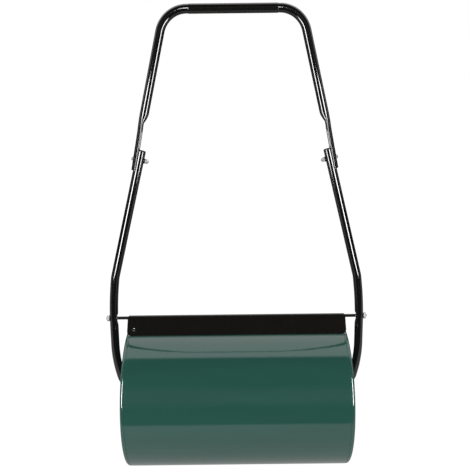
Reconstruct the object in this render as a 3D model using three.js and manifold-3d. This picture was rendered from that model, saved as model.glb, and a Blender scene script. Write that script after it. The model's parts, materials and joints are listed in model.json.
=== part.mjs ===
// A push lawn roller: a fillable steel drum on a fixed axle, two bent tube arms, a U-shaped upper handle that
// is bolted to them, and a scraper plate that hangs from a cross rod and rests on the drum.
// Millimetres. +X runs along the axle, +Z is up, and the scraper leans towards -Y. The origin is on the ground,
// straight below the middle of the drum.

import * as THREE from 'three';
import { mergeVertices } from 'three/addons/utils/BufferGeometryUtils.js';
import Module from 'manifold-3d';

const wasm = await Module();
wasm.setup();

// ---- driving dimensions ----

const GAP = 0.3;                  // room left between pieces that touch on the real roller
const THROUGH = 60;               // length of a drill that has to pass right through a tube

const DRUM_RADIUS = 160;
const DRUM_HALF_WIDTH = 250;
const DRUM_FACETS = 48;
const SHEET = 1.5;                // drum and tube wall
const RIM_RADIUS = 10;            // rounded rim where a pressed end meets the shell
const RIM_INNER = 128;            // inner edge of the flat rim
const PANEL_RADIUS = 118;         // edge of the recessed panel
const PANEL_DEPTH = 13;           // how far the panel lies behind the rim
const HUB_RADIUS = 36;
const HUB_DEPTH = 4;              // how far the hub's face lies behind the rim

const CORE_RADIUS = 21;
const CORE_WALL = 2;
const CORE_FACETS = 24;
const AXLE_RADIUS = 8;
const AXLE_END_RADIUS = 6;
const AXLE_HALF_LENGTH = 276;
const BUSH_LENGTH = 30;
const FLANGE_RADIUS = 20;
const FLANGE = 3;

const PLUG_ORBIT = 84;            // distance of the filler from the drum's axis
const PLUG_ANGLE = Math.PI / 4;   // turned away from the arm at rest
const BOSS_RADIUS = 20;
const BOSS_BORE = 14.3;
const BOSS_STAND = 3;             // how far the boss stands out of the panel
const BOSS_DEPTH = 14;
const SEAL = 2;
const PLUG_HEAD = 7;
const PLUG_SHANK = 12;

const TUBE_RADIUS = 9.5;
const ARM_SIDES = 16;
const EYE_X = 262;                // middle plane of the flattened arm end at the axle
const EYE_HALF_THICKNESS = 2.5;
const EYE_HALF_WIDTH = 13.6;
const EYE_LENGTH = 30;            // flat length, measured from the rounded end
const EYE_BLEND = 28;             // length over which the tube is flattened
const EYE_START_Z = DRUM_RADIUS - EYE_HALF_WIDTH;
// Corners of an arm's centre line, as x, z and bend radius.
const ARM_CORNERS = [
	[EYE_X, EYE_START_Z],
	[EYE_X, 176, 40],
	[280.6, 246, 300],
	[279.6, 383, 860],
	[271.9, 446, 60],
	[199.6, 731],
];

const HANDLE_TOP = 1019;          // height of the top bar's centre line
const HANDLE_CORNER_X = 140.5;
const HANDLE_BEND = 57;
const LEG_LEAN = THREE.MathUtils.degToRad(13.3);
const SADDLE_LEAN = THREE.MathUtils.degToRad(11.5);
const SADDLE_LENGTH = 79;         // pressed half-round length at each leg's end
const SADDLE_OVERLAP = 44;        // part of it that cups the arm
const SADDLE_BLEND = 46;          // length over which the round leg is pressed
const SADDLE_HALF_ANGLE = THREE.MathUtils.degToRad(75);
const SADDLE_STEPS = 4;           // points along half of a saddle arc
const SADDLE_INNER = TUBE_RADIUS + GAP;
const SADDLE_THICKNESS = 3.4;
const GRIP_HALF_LENGTH = 91;
const GRIP_RADIUS = 10.3;
const GRIP_SIDES = 24;

const BOLT_DOWN = 20.5;           // distance of the handle bolt below the arm's top end
const BOLT_RADIUS = 3;
const BOLT_HEAD_RADIUS = 4.8;
const BOLT_HEAD = 3.2;
const HANDLE_WASHER = 1.6;
const HANDLE_WASHER_RADIUS = 5.6;
const DOME_NUT_HEX = 4;           // length of the nut's hexagon
const DOME_NUT_LENGTH = 8;
const BOLT_IN_NUT = 4.8;

const ROD_Z = 350;
const ROD_RADIUS = 3.55;
const ROD_THREAD_RADIUS = 4;
const ROD_HALF_LENGTH = 296.8;
const ROD_NUT = 5.5;
const DIMPLE_DEPTH = 3.4;         // the tube is squeezed on its inner side where the rod enters
const DIMPLE_HALF_LENGTH = 15;

const PLATE_HALF_LENGTH = 247.5;
const PLATE_SHEET = 1.2;
const PLATE_DROP = 43.4;          // from the rod's centre to the scraping edge, along the plate
const PLATE_CORNER = 10;
const PLATE_CLEARANCE = 0.65;     // between the scraping edge and the drum
const HEM_INNER = 4.3;
const HEM_END_ANGLE = THREE.MathUtils.degToRad(-65);
const HANG_HOLE_RADIUS = 3.5;
const HANG_HOLE_IN = 15;          // from the plate's left end
const HANG_HOLE_UP = 14;          // from the scraping edge

const ROUND = 16;                 // facets of a small turned piece

// ---- materials ----

const finish = (color, roughness, metalness) => new THREE.MeshStandardMaterial({ color, roughness, metalness });
const GREEN = finish(0x28534a, 0.3, 0.1);
const BLACK = finish(0x1a1a19, 0.2, 0.1);
const GRIP = finish(0x24211f, 0.75, 0);
const ZINC = finish(0xb9bcc0, 0.3, 0.9);
const STEEL = finish(0x8b8d90, 0.4, 0.9);
const NYLON = finish(0xe6e2d6, 0.5, 0);
const PLASTIC = finish(0x1c1d1e, 0.45, 0);
const RUBBER = finish(0x141414, 0.8, 0);

// ---- solids ----

/** Turn a geometry into a solid with its faces pointing out, shared corners merged. */
function solidOf(geometry) {
	const bare = geometry.clone();
	bare.deleteAttribute('normal');
	bare.deleteAttribute('uv');
	const merged = mergeVertices(bare, 1e-4);
	const triangles = Uint32Array.from(merged.index.array);
	if (signedVolume(merged.attributes.position, triangles) < 0) flip(triangles);
	const vertices = Float32Array.from(merged.attributes.position.array);
	return new wasm.Manifold(new wasm.Mesh({ numProp: 3, vertProperties: vertices, triVerts: triangles }));
}

function signedVolume(position, triangles) {
	const [a, b, c] = [new THREE.Vector3(), new THREE.Vector3(), new THREE.Vector3()];
	let sum = 0;
	for (let k = 0; k < triangles.length; k += 3) {
		a.fromBufferAttribute(position, triangles[k]);
		b.fromBufferAttribute(position, triangles[k + 1]);
		c.fromBufferAttribute(position, triangles[k + 2]);
		sum += a.dot(b.cross(c)) / 6;
	}
	return sum;
}

function flip(triangles) {
	for (let k = 0; k < triangles.length; k += 3) {
		[triangles[k], triangles[k + 1]] = [triangles[k + 1], triangles[k]];
	}
}

function geometryOf(solid) {
	const mesh = solid.getMesh();
	const geometry = new THREE.BufferGeometry();
	geometry.setAttribute('position', new THREE.BufferAttribute(mesh.vertProperties, 3));
	geometry.setIndex(new THREE.BufferAttribute(mesh.triVerts, 1));
	return geometry;
}

const cut = (geometry, ...tools) => geometryOf(tools.reduce((s, tool) => s.subtract(solidOf(tool)), solidOf(geometry)));
const join = (geometry, ...more) => geometryOf(more.reduce((s, one) => s.add(solidOf(one)), solidOf(geometry)));

/** Revolve [x, radius] pairs around the X axis. The radii are those of the facets' middles. */
function turned(profile, facets = ROUND) {
	const stretch = 1 / Math.cos(Math.PI / facets);
	const points = profile.map(([x, radius]) => new THREE.Vector2(radius * stretch, x));
	if (profile[0][1] > 0) points.push(points[0].clone());
	const lathe = new THREE.LatheGeometry(points, facets, Math.PI / facets);
	return geometryOf(solidOf(lathe.rotateZ(-Math.PI / 2)));
}

const ring = (x0, x1, inner, outer, facets) => turned([[x0, inner], [x0, outer], [x1, outer], [x1, inner]], facets);
const rod = (x0, x1, radius, facets) => turned([[x0, 0], [x0, radius], [x1, radius], [x1, 0]], facets);

/** A hexagonal prism along X with its across-flats size. */
function hexagon(x0, x1, acrossFlats) {
	const prism = new THREE.CylinderGeometry(acrossFlats / Math.sqrt(3), acrossFlats / Math.sqrt(3), x1 - x0, 6);
	return prism.rotateZ(-Math.PI / 2).translate((x0 + x1) / 2, 0, 0);
}

/** Mirror a geometry across the YZ plane. */
const mirrored = (geometry) => geometryOf(solidOf(geometry.clone().scale(-1, 1, 1)));

// ---- bent and pressed tube ----

/** A centre line in the XZ plane with rounded corners, from [x, z, radius] corners. */
function bentPath(corners) {
	const points = corners.map(([x, z]) => new THREE.Vector2(x, z));
	const path = new THREE.Path();
	path.moveTo(points[0].x, points[0].y);
	for (let k = 1; k + 1 < points.length; k++) {
		const before = points[k].clone().sub(points[k - 1]).normalize();
		const after = points[k + 1].clone().sub(points[k]).normalize();
		const turn = before.cross(after);
		const radius = corners[k][2];
		const reach = radius * Math.tan(Math.abs(Math.asin(turn)) / 2);
		const start = points[k].clone().addScaledVector(before, -reach);
		const side = new THREE.Vector2(-before.y, before.x).multiplyScalar(Math.sign(turn));
		const centre = start.clone().addScaledVector(side, radius);
		const from = Math.atan2(start.y - centre.y, start.x - centre.x);
		path.lineTo(start.x, start.y);
		path.absarc(centre.x, centre.y, radius, from, from + Math.asin(turn), turn < 0);
	}
	path.lineTo(points.at(-1).x, points.at(-1).y);
	return path;
}

/** Distances along a path at the ends of its straight runs, inside its arcs and at the extra places. */
function stations(path, arcSteps, extra = []) {
	const found = [0, ...extra];
	let done = 0;
	for (const curve of path.curves) {
		const length = curve.getLength();
		const steps = curve.isEllipseCurve ? arcSteps : 1;
		for (let k = 1; k <= steps; k++) found.push(done + length * k / steps);
		done += length;
	}
	found.sort((a, b) => a - b);
	return found.filter((place, k) => k === 0 || place - found[k - 1] > 0.5);
}

/** An outline placed at a point: its x points out of the bend, its y runs along the world's Y. */
function placed(outline, centre, tangent) {
	const out = new THREE.Vector2(tangent.y, -tangent.x);
	const points = outline.map(({ x, y }) => new THREE.Vector3(centre.x + out.x * x, y, centre.y + out.y * x));
	return { outline, points };
}

function placedOn(path, distance, outline) {
	const u = THREE.MathUtils.clamp(distance / path.getLength(), 0, 1);
	return placed(outline, path.getPointAt(u), path.getTangentAt(u));
}

/** Skin a row of sections and close both ends. */
function loft(sections) {
	const count = sections[0].points.length;
	const positions = sections.flatMap((section) => section.points.flatMap((point) => point.toArray()));
	const indices = [];
	for (let row = 0; row + 1 < sections.length; row++) {
		for (let k = 0; k < count; k++) {
			const a = row * count + k;
			const b = row * count + (k + 1) % count;
			indices.push(a, b, b + count, a, b + count, a + count);
		}
	}
	indices.push(...cap(sections[0].outline, 0, -1));
	indices.push(...cap(sections.at(-1).outline, (sections.length - 1) * count, 1));
	const geometry = new THREE.BufferGeometry();
	geometry.setAttribute('position', new THREE.Float32BufferAttribute(positions, 3));
	geometry.setIndex(indices);
	return geometry;
}

function cap(outline, first, facing) {
	const sense = facing * Math.sign(THREE.ShapeUtils.area(outline));
	return THREE.ShapeUtils.triangulateShape(outline, []).flatMap(([a, b, c]) => {
		const area = THREE.ShapeUtils.area([outline[a], outline[b], outline[c]]);
		return area * sense > 0 ? [first + a, first + b, first + c] : [first + a, first + c, first + b];
	});
}

const blendOutline = (from, to, t) => from.map((point, k) => point.clone().lerp(to[k], t));

function circle(radius, count) {
	const angle = (k) => 2 * Math.PI * k / count;
	return Array.from({ length: count }, (_, k) => new THREE.Vector2(Math.cos(angle(k)), Math.sin(angle(k)))
		.multiplyScalar(radius));
}

/** A flattened tube: two straight sides and two round edges, with points spread evenly round it. */
function flattened(halfThickness, halfWidth, count) {
	const straight = halfWidth - halfThickness;
	const shape = new THREE.Path();
	shape.moveTo(halfThickness, 0);
	shape.lineTo(halfThickness, straight);
	shape.absarc(0, straight, halfThickness, 0, Math.PI, false);
	shape.lineTo(-halfThickness, -straight);
	shape.absarc(0, -straight, halfThickness, Math.PI, 2 * Math.PI, false);
	shape.lineTo(halfThickness, 0);
	return shape.getSpacedPoints(count).slice(0, count);
}

// ---- arms ----

const armPath = bentPath(ARM_CORNERS);
const armLength = armPath.getLength();

/** Distance along the arm at which its centre line reaches a height. */
function armDistanceAt(z) {
	let [low, high] = [0, 1];
	for (let k = 0; k < 40; k++) {
		const middle = (low + high) / 2;
		if (armPath.getPointAt(middle).y < z) low = middle;
		else high = middle;
	}
	return low * armLength;
}

const armRodDistance = armDistanceAt(ROD_Z);

/** The arm's outline at a distance along it, drawn in by `inset` for its inner skin. */
function armOutline(distance, inset) {
	const round = circle(TUBE_RADIUS - inset, ARM_SIDES);
	const flat = flattened(EYE_HALF_THICKNESS - 0.92 * inset, EYE_HALF_WIDTH - inset, ARM_SIDES);
	const opened = THREE.MathUtils.smoothstep(distance, EYE_LENGTH, EYE_LENGTH + EYE_BLEND);
	const away = Math.abs(distance - armRodDistance) / DIMPLE_HALF_LENGTH;
	const depth = DIMPLE_DEPTH * (1 - THREE.MathUtils.smoothstep(away, 0, 1));
	return blendOutline(flat, round, opened).map((point) => dimpled(point, depth));
}

/** Push the side that faces the other arm inwards, most along its middle. */
function dimpled(point, depth) {
	const facing = Math.max(0, -point.x / TUBE_RADIUS);
	return new THREE.Vector2(point.x + depth * facing * facing, point.y);
}

function armLoft(inset, from, to) {
	const dimple = [-1, -0.6, -0.25, 0.25, 0.6, 1].map((k) => armRodDistance + k * DIMPLE_HALF_LENGTH);
	const opening = [0, 0.3, 0.55, 0.8, 1].map((k) => EYE_LENGTH + k * EYE_BLEND);
	const places = stations(armPath, 4, [from, ...dimple, ...opening]).filter((place) => place >= from);
	const sections = places.map((place) => placedOn(armPath, place, armOutline(place, inset)));
	if (to > armLength) sections.push(extended(sections.at(-1), to - armLength));
	return loft(sections);
}

/** A section moved on past the arm's top end. */
function extended(section, more) {
	const along = armPath.getTangentAt(1);
	const shift = new THREE.Vector3(along.x, 0, along.y).multiplyScalar(more);
	return { outline: section.outline, points: section.points.map((point) => point.clone().add(shift)) };
}

/** Everything outside the eye's rounded end. */
function eyeCorners() {
	const shape = new THREE.Shape();
	shape.moveTo(-EYE_HALF_WIDTH - 1, DRUM_RADIUS);
	shape.lineTo(-EYE_HALF_WIDTH - 1, EYE_START_Z - 1);
	shape.lineTo(EYE_HALF_WIDTH + 1, EYE_START_Z - 1);
	shape.lineTo(EYE_HALF_WIDTH + 1, DRUM_RADIUS);
	shape.lineTo(EYE_HALF_WIDTH, DRUM_RADIUS);
	shape.absarc(0, DRUM_RADIUS, EYE_HALF_WIDTH, 0, -Math.PI, true);
	const plate = new THREE.ExtrudeGeometry(shape, { depth: THROUGH, bevelEnabled: false, curveSegments: 12 });
	return plate.rotateX(Math.PI / 2).rotateZ(Math.PI / 2).translate(EYE_X - THROUGH / 2, 0, 0);
}

function rightArm() {
	const hollow = armLoft(SHEET, EYE_LENGTH + EYE_BLEND / 4, armLength + 1);
	const axleHole = rod(-THROUGH / 2, THROUGH / 2, AXLE_END_RADIUS + GAP).translate(EYE_X, 0, DRUM_RADIUS);
	const rodHole = rod(-THROUGH / 2, THROUGH / 2, ROD_THREAD_RADIUS + GAP).translate(EYE_X + 18, 0, ROD_Z);
	return cut(armLoft(0, 0, armLength), hollow, eyeCorners(), axleHole, rodHole, boltHole());
}

// ---- upper handle ----

const armTop = armPath.getPointAt(1);
const armUp = armPath.getTangentAt(1);
const armOut = new THREE.Vector2(armUp.y, -armUp.x);
const armTilt = Math.atan2(armOut.y, armOut.x);
const boltPoint = armTop.clone().addScaledVector(armUp, -BOLT_DOWN);
const legUp = new THREE.Vector2(-Math.sin(LEG_LEAN), Math.cos(LEG_LEAN));
const saddleTip = armTop.clone().addScaledVector(armUp, -SADDLE_OVERLAP);
const saddleUp = new THREE.Vector2(-Math.sin(SADDLE_LEAN), Math.cos(SADDLE_LEAN));

/** A drill along the handle bolt's axis, at the right-hand joint. */
function boltHole() {
	const drill = rod(-THROUGH / 2, THROUGH / 2, BOLT_RADIUS + GAP);
	return drill.rotateY(-armTilt).translate(boltPoint.x, 0, boltPoint.y);
}

/** The pressed half-round outline that cups the arm, drawn in by `inset`. */
function saddleOutline(inset) {
	const half = SADDLE_HALF_ANGLE - inset / SADDLE_INNER;
	const arc = (radius, k) => new THREE.Vector2(radius, 0).rotateAround(new THREE.Vector2(), half * k / SADDLE_STEPS);
	const outer = SADDLE_INNER + SADDLE_THICKNESS - inset;
	const inner = SADDLE_INNER + inset;
	const points = [];
	for (let k = 0; k <= SADDLE_STEPS; k++) points.push(arc(outer, k));
	for (let k = SADDLE_STEPS; k >= -SADDLE_STEPS; k--) points.push(arc(inner, k));
	for (let k = -SADDLE_STEPS; k < 0; k++) points.push(arc(outer, k));
	return points;
}

/** Sections of the right leg's pressed end, from its tip up to the round tube. */
function saddleSections(inset, tipExtra) {
	const saddle = saddleOutline(inset * 0.88);
	const round = circle(TUBE_RADIUS - inset, saddle.length);
	const sections = [-tipExtra, SADDLE_LENGTH].map((s) => placed(saddle, saddlePoint(s), saddleUp));
	for (const t of [0.25, 0.5, 0.75, 1]) {
		const centre = saddlePoint(SADDLE_LENGTH + t * SADDLE_BLEND);
		const pressed = placed(saddle, centre, saddleUp);
		const tube = placed(round, legPoint(centre.y), legUp);
		const weight = THREE.MathUtils.smoothstep(t, 0, 1);
		const points = pressed.points.map((point, k) => point.clone().lerp(tube.points[k], weight));
		sections.push({ outline: round, points });
	}
	return sections;
}

/** The middle of the pressed end's arc at a distance from its tip. */
const saddlePoint = (distance) => saddleTip.clone().addScaledVector(saddleUp, distance);

/** The round leg's centre at a height. */
function legPoint(z) {
	const drop = HANDLE_TOP - z;
	return new THREE.Vector2(HANDLE_CORNER_X + drop * Math.tan(LEG_LEAN), z);
}

function mirrorSection({ outline, points }) {
	return { outline, points: points.map((point) => new THREE.Vector3(-point.x, point.y, point.z)) };
}

function handleLoft(inset, tipExtra) {
	const ends = saddleSections(inset, tipExtra);
	const legStart = saddlePoint(SADDLE_LENGTH + SADDLE_BLEND).y;
	const { x } = legPoint(legStart);
	const bar = bentPath([
		[x, legStart],
		[HANDLE_CORNER_X, HANDLE_TOP, HANDLE_BEND],
		[-HANDLE_CORNER_X, HANDLE_TOP, HANDLE_BEND],
		[-x, legStart],
	]);
	const round = circle(TUBE_RADIUS - inset, ends[0].points.length);
	const middle = stations(bar, 8).slice(1, -1).map((place) => placedOn(bar, place, round));
	return loft([...ends, ...middle, ...ends.map(mirrorSection).reverse()]);
}

function upperHandle() {
	const hole = boltHole();
	return cut(handleLoft(0, 0), handleLoft(SHEET, 1), hole, mirrored(hole));
}

const handleGrip = () => ring(-GRIP_HALF_LENGTH, GRIP_HALF_LENGTH, TUBE_RADIUS + GAP, GRIP_RADIUS, GRIP_SIDES);

// ---- drum ----

const seam = DRUM_HALF_WIDTH - RIM_RADIUS;
const hubFace = DRUM_HALF_WIDTH - HUB_DEPTH;
const panelFace = DRUM_HALF_WIDTH - PANEL_DEPTH;
const plugY = PLUG_ORBIT * Math.cos(PLUG_ANGLE);
const plugZ = PLUG_ORBIT * Math.sin(PLUG_ANGLE);

const drumShell = () => ring(-seam + GAP / 2, seam - GAP / 2, DRUM_RADIUS - SHEET, DRUM_RADIUS, DRUM_FACETS);

/** The right-hand pressed end's outer or inner skin, from the seam to the hub. */
function endSkin(inset) {
	const rim = [0, 30, 60, 90].map((degrees) => {
		const angle = THREE.MathUtils.degToRad(degrees);
		const radius = RIM_RADIUS - inset;
		return [seam + radius * Math.sin(angle), DRUM_RADIUS - RIM_RADIUS + radius * Math.cos(angle)];
	});
	rim[0][0] += GAP / 2;
	return [
		...rim,
		[DRUM_HALF_WIDTH - inset, RIM_INNER],
		[panelFace - inset, PANEL_RADIUS],
		[panelFace - inset, HUB_RADIUS + HUB_DEPTH * 2],
		[hubFace - inset, HUB_RADIUS],
		[hubFace - inset, CORE_RADIUS + GAP],
	];
}

function drumEnd(withFiller) {
	const disc = turned([...endSkin(0), ...endSkin(SHEET).reverse()], DRUM_FACETS);
	if (!withFiller) return disc;
	return cut(disc, rod(panelFace - 10, panelFace + 10, BOSS_RADIUS + GAP).translate(0, plugY, plugZ));
}

const coreTube = () => ring(-hubFace, hubFace, CORE_RADIUS - CORE_WALL, CORE_RADIUS, CORE_FACETS);

/** A flanged plain bush, its flange against the right-hand hub. */
function axleBush() {
	const bore = AXLE_RADIUS + GAP;
	const body = CORE_RADIUS - CORE_WALL - GAP;
	const flange = hubFace + GAP;
	return turned([
		[flange - BUSH_LENGTH, bore],
		[flange - BUSH_LENGTH, body],
		[flange, body],
		[flange, FLANGE_RADIUS],
		[flange + FLANGE, FLANGE_RADIUS],
		[flange + FLANGE, bore],
	], CORE_FACETS);
}

// The filler stands on a boss in the right-hand panel: boss, seal and plug share its axis.
const bossFace = panelFace + BOSS_STAND;
const sealFace = bossFace + GAP + SEAL;
const headFace = sealFace + GAP;
const fillerBoss = () => ring(bossFace - BOSS_DEPTH, bossFace, BOSS_BORE, BOSS_RADIUS);
const plugSeal = () => ring(bossFace + GAP, sealFace, BOSS_BORE - 0.2, BOSS_RADIUS - 1.5);

/** A plug with a round head and a raised finger bar. */
function fillerPlug() {
	const shank = BOSS_BORE - 0.5;
	const body = turned([
		[headFace - PLUG_SHANK, 0],
		[headFace - PLUG_SHANK, shank],
		[headFace, shank],
		[headFace, BOSS_RADIUS - 1],
		[headFace + 3, BOSS_RADIUS - 1],
		[headFace + 3, 0],
	]);
	const bar = new THREE.BoxGeometry(PLUG_HEAD - 2, 2 * BOSS_RADIUS - 8, 7);
	return join(body, bar.translate(headFace + (PLUG_HEAD + 2) / 2, 0, 0));
}

// ---- axle ----

const eyeInner = EYE_X - EYE_HALF_THICKNESS;
const eyeOuter = EYE_X + EYE_HALF_THICKNESS;
const spacerStart = hubFace + FLANGE + 2 * GAP;
const washerStart = eyeOuter + GAP;
const AXLE_WASHER = 2.5;
const axleNutStart = washerStart + AXLE_WASHER + GAP;
const AXLE_NUT = 7;

/** The axle, stepped down to its threaded ends at the arms. */
function axleShaft() {
	const shoulder = eyeInner - GAP;
	return turned([
		[-AXLE_HALF_LENGTH, 0],
		[-AXLE_HALF_LENGTH, AXLE_END_RADIUS],
		[-shoulder, AXLE_END_RADIUS],
		[-shoulder, AXLE_RADIUS],
		[shoulder, AXLE_RADIUS],
		[shoulder, AXLE_END_RADIUS],
		[AXLE_HALF_LENGTH, AXLE_END_RADIUS],
		[AXLE_HALF_LENGTH, 0],
	], 16);
}

const axleSpacer = () => ring(spacerStart, eyeInner - 2 * GAP, AXLE_RADIUS + GAP, 12.5);
const axleWasher = () => ring(washerStart, washerStart + AXLE_WASHER, AXLE_END_RADIUS + GAP, 12);
const axleNut = () => nut(axleNutStart, AXLE_NUT, 19, AXLE_END_RADIUS);

function nut(start, height, acrossFlats, threadRadius) {
	return cut(hexagon(start, start + height, acrossFlats), rod(start - 1, start + height + 1, threadRadius + GAP));
}

// ---- scraper ----

/** The scraper rod, with rolled thread at each end that is a little thicker than the rod. */
function scraperRod() {
	const thread = ROD_HALF_LENGTH - 22;
	return turned([
		[-ROD_HALF_LENGTH, 0],
		[-ROD_HALF_LENGTH, ROD_THREAD_RADIUS],
		[-thread, ROD_THREAD_RADIUS],
		[-thread, ROD_RADIUS],
		[thread, ROD_RADIUS],
		[thread, ROD_THREAD_RADIUS],
		[ROD_HALF_LENGTH, ROD_THREAD_RADIUS],
		[ROD_HALF_LENGTH, 0],
	], 16);
}

const rodNutStart = armPath.getPointAt(armRodDistance / armLength).x + TUBE_RADIUS + GAP;
const rodNut = () => nut(rodNutStart, ROD_NUT, 13, ROD_THREAD_RADIUS);

/** The rolled hem, seen along X: it leaves the plate's front face, passes over the rod and ends behind it. */
function hemShape() {
	const outer = HEM_INNER + PLATE_SHEET;
	const shape = new THREE.Shape();
	shape.moveTo(-outer, -1);
	shape.lineTo(-outer, 0);
	shape.absarc(0, 0, outer, Math.PI, HEM_END_ANGLE, true);
	shape.absarc(0, 0, HEM_INNER, HEM_END_ANGLE, Math.PI, false);
	shape.lineTo(-HEM_INNER, -1);
	return shape;
}

/** The plate seen from the front, with its rounded lower corners and its hanging hole. */
function plateShape() {
	const half = PLATE_HALF_LENGTH;
	const shape = new THREE.Shape();
	shape.moveTo(-half, 0);
	shape.lineTo(-half, PLATE_CORNER - PLATE_DROP);
	shape.absarc(PLATE_CORNER - half, PLATE_CORNER - PLATE_DROP, PLATE_CORNER, Math.PI, 1.5 * Math.PI, false);
	shape.lineTo(half - PLATE_CORNER, -PLATE_DROP);
	shape.absarc(half - PLATE_CORNER, PLATE_CORNER - PLATE_DROP, PLATE_CORNER, 1.5 * Math.PI, 2 * Math.PI, false);
	shape.lineTo(half, 0);
	const hole = new THREE.Path();
	hole.absarc(HANG_HOLE_IN - half, HANG_HOLE_UP - PLATE_DROP, HANG_HOLE_RADIUS, 0, 2 * Math.PI, true);
	shape.holes.push(hole);
	return shape;
}

function scraperPlate() {
	const hem = new THREE.ExtrudeGeometry(hemShape(), {
		depth: 2 * PLATE_HALF_LENGTH, bevelEnabled: false, curveSegments: 14,
	});
	hem.rotateY(Math.PI / 2).rotateX(Math.PI / 2).translate(-PLATE_HALF_LENGTH, 0, 0);
	const plate = new THREE.ExtrudeGeometry(plateShape(), {
		depth: PLATE_SHEET, bevelEnabled: false, curveSegments: 8,
	});
	plate.rotateX(Math.PI / 2).translate(0, -HEM_INNER, 0);
	return join(plate, hem);
}

/** How far the plate leans when the rear corner of its edge stops just short of the drum. */
function plateLean() {
	const rodHeight = ROD_Z - DRUM_RADIUS;
	const reach = Math.hypot(PLATE_DROP, HEM_INNER);
	const rest = DRUM_RADIUS + PLATE_CLEARANCE;
	const toCorner = Math.acos((rodHeight ** 2 + reach ** 2 - rest ** 2) / (2 * rodHeight * reach));
	return toCorner - Math.atan2(HEM_INNER, PLATE_DROP);
}

// ---- fasteners at the handle joints, along the bolt's axis with the arm's centre at x = 0 ----

// The pressed end is a little more upright than the arm, so it stands off the arm above its tip.
const standOff = (SADDLE_OVERLAP - BOLT_DOWN + BOLT_HEAD_RADIUS) * Math.sin(armTilt - SADDLE_LEAN);
const headSeat = SADDLE_INNER + SADDLE_THICKNESS + standOff;
const washerInner = TUBE_RADIUS + GAP;
const domeStart = washerInner + HANDLE_WASHER + GAP;

/** A bolt with a low dome head outside and its end inside the dome nut. */
function handleBolt() {
	const head = headSeat + GAP;
	return turned([
		[-domeStart - BOLT_IN_NUT, 0],
		[-domeStart - BOLT_IN_NUT, BOLT_RADIUS],
		[head, BOLT_RADIUS],
		[head, BOLT_HEAD_RADIUS],
		[head + BOLT_HEAD * 0.45, BOLT_HEAD_RADIUS * 0.9],
		[head + BOLT_HEAD * 0.85, BOLT_HEAD_RADIUS * 0.55],
		[head + BOLT_HEAD, BOLT_HEAD_RADIUS * 0.2],
		[head + BOLT_HEAD, 0],
	], 20);
}

const handleWasher = () => ring(-washerInner - HANDLE_WASHER, -washerInner, BOLT_RADIUS + GAP, HANDLE_WASHER_RADIUS);

/** A closed nut: a short hexagon with a dome over the bolt's end. */
function domeNut() {
	const tip = -domeStart - DOME_NUT_LENGTH;
	const collar = -domeStart - DOME_NUT_HEX;
	const dome = turned([
		[tip, 0],
		[tip + 0.4, 2],
		[tip + 1.6, 3.6],
		[tip + 3.4, 4.5],
		[collar + 0.5, 4.6],
		[collar + 0.5, 0],
	], 20);
	const blind = rod(-domeStart - BOLT_IN_NUT - GAP, 1 - domeStart, BOLT_RADIUS + GAP);
	return cut(join(hexagon(collar, -domeStart, 10), dome), blind);
}

// ---- assembly ----

const roller = new THREE.Group();

function add(parent, name, geometry, material) {
	const mesh = new THREE.Mesh(geometry, material);
	mesh.name = name;
	parent.add(mesh);
	return mesh;
}

/** Add the same turned piece at both ends of the axle line: the left one is turned half a turn about Z. */
function addPair(parent, name, geometry, material) {
	add(parent, `right_${name}`, geometry, material);
	add(parent, `left_${name}`, geometry.clone(), material).rotation.z = Math.PI;
}

const axleLine = new THREE.Group();
axleLine.position.z = DRUM_RADIUS;
roller.add(axleLine);
add(axleLine, 'drum_shell', drumShell(), GREEN);
add(axleLine, 'right_drum_end', drumEnd(true), GREEN);
add(axleLine, 'left_drum_end', drumEnd(false), GREEN).rotation.z = Math.PI;
add(axleLine, 'drum_core_tube', coreTube(), STEEL);
add(axleLine, 'axle_shaft', axleShaft(), ZINC);
addPair(axleLine, 'axle_bush', axleBush(), NYLON);
addPair(axleLine, 'axle_spacer', axleSpacer(), ZINC);
addPair(axleLine, 'axle_washer', axleWasher(), ZINC);
addPair(axleLine, 'axle_nut', axleNut(), ZINC);

const filler = new THREE.Group();
filler.position.set(0, plugY, plugZ);
axleLine.add(filler);
add(filler, 'filler_boss', fillerBoss(), GREEN);
add(filler, 'plug_seal', plugSeal(), RUBBER);
add(filler, 'filler_plug', fillerPlug(), PLASTIC);

const arm = rightArm();
add(roller, 'right_side_arm', arm, BLACK);
add(roller, 'left_side_arm', mirrored(arm), BLACK);
add(roller, 'upper_handle', upperHandle(), BLACK);
add(roller, 'handle_grip', handleGrip(), GRIP).position.z = HANDLE_TOP;

const scraperLine = new THREE.Group();
scraperLine.position.z = ROD_Z;
roller.add(scraperLine);
add(scraperLine, 'scraper_rod', scraperRod(), BLACK);
addPair(scraperLine, 'rod_nut', rodNut(), ZINC);
add(scraperLine, 'scraper_plate', scraperPlate(), BLACK).rotation.x = -plateLean();

for (const [side, turn] of [['right', 0], ['left', Math.PI]]) {
	const face = new THREE.Group();
	face.rotation.z = turn;
	const joint = new THREE.Group();
	joint.position.set(boltPoint.x, 0, boltPoint.y);
	joint.rotation.y = -armTilt;
	face.add(joint);
	roller.add(face);
	add(joint, `${side}_handle_bolt`, handleBolt(), ZINC);
	add(joint, `${side}_handle_washer`, handleWasher(), BLACK);
	add(joint, `${side}_handle_nut`, domeNut(), ZINC);
}

export default roller;
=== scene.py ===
"""Looks for the lawn roller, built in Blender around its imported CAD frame.

Shapes are worked out in millimetres in the frame's axes: +X along the axle, +Z up, the scraper towards -Y.
Every mesh is turned into metres when it is made. Lights and camera are placed in metres.
"""

import json
import math

import bmesh
import bpy
import numpy as np
from mathutils import Matrix, Vector

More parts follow.
